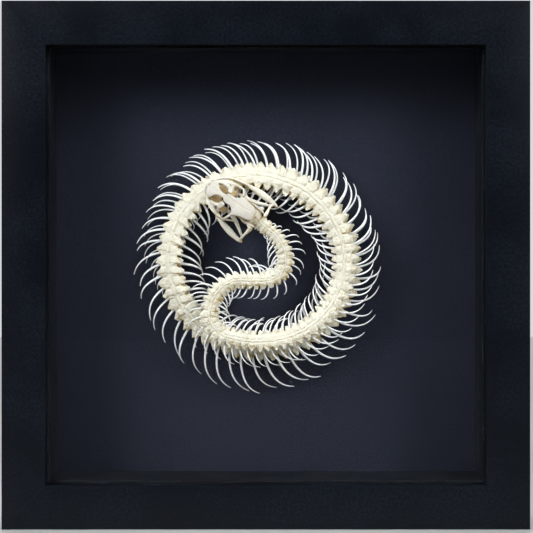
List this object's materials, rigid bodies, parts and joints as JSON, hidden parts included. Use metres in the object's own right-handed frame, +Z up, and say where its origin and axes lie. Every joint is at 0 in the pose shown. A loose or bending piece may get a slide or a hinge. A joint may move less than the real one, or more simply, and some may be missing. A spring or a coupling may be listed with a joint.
{
  "type": "coiled snake skeleton in a box frame",
  "caption": "Bleached snake skeleton coiled in a flat ring with the neck looped inside it and the skull on top, behind glass in a deep square black frame.",
  "frame": {"origin": "middle of the frame's underside, on the surface that it stands on", "axes": "+Z up, +X to the right as seen from the front, -Y out through the glass towards the viewer"},
  "size_m": [0.25, 0.045, 0.25],
  "materials": {
    "bone": "bleached bone, matt to faint satin, ochre in the hollows",
    "skull_bone": "bleached bone, smoother and cooler on the crown",
    "black_frame": "black foil over fibreboard, satin, fine grain",
    "black_liner": "black foil over fibreboard, satin",
    "glass": "clear float glass, polished",
    "dark_card": "matt blue-black mount card",
    "backing_board": "brown hardboard, fine fibres",
    "steel": "thin stamped steel, zinc grey"
  },
  "bodies": {
    "root": {"rail_bottom": "black_frame", "rail_right": "black_frame", "rail_top": "black_frame", "rail_left": "black_frame", "liner_bottom": "black_liner", "liner_right": "black_liner", "liner_top": "black_liner", "liner_left": "black_liner", "glass_pane": "glass", "mount_card": "dark_card", "backing_board": "backing_board", "tab_bottom_1": "steel", "tab_bottom_2": "steel", "tab_right_1": "steel", "tab_right_2": "steel", "tab_top_1": "steel", "tab_top_2": "steel", "tab_left_1": "steel", "tab_left_2": "steel", "hanger_top": "steel", "hanger_side": "steel", "neck_front_left": "bone", "neck_front_right": "bone", "neck_back_left": "bone", "neck_back_right": "bone", "upper_turn_1_left": "bone", "upper_turn_1_right": "bone", "upper_turn_2_left": "bone", "upper_turn_2_right": "bone", "upper_turn_3_left": "bone", "upper_turn_3_right": "bone", "upper_turn_4_left": "bone", "upper_turn_4_right": "bone", "lower_turn_1_left": "bone", "lower_turn_1_right": "bone", "lower_turn_2_left": "bone", "lower_turn_2_right": "bone", "lower_turn_3_left": "bone", "lower_turn_3_right": "bone", "tail_left": "bone", "tail_right": "bone", "cranium": "skull_bone", "maxilla_right": "skull_bone", "maxilla_left": "skull_bone", "palate_right": "skull_bone", "palate_left": "skull_bone", "ectopterygoid_right": "skull_bone", "ectopterygoid_left": "skull_bone", "quadrate_right": "skull_bone", "quadrate_left": "skull_bone", "mandible_right": "skull_bone", "mandible_left": "skull_bone"}
  },
  "joints": []
}
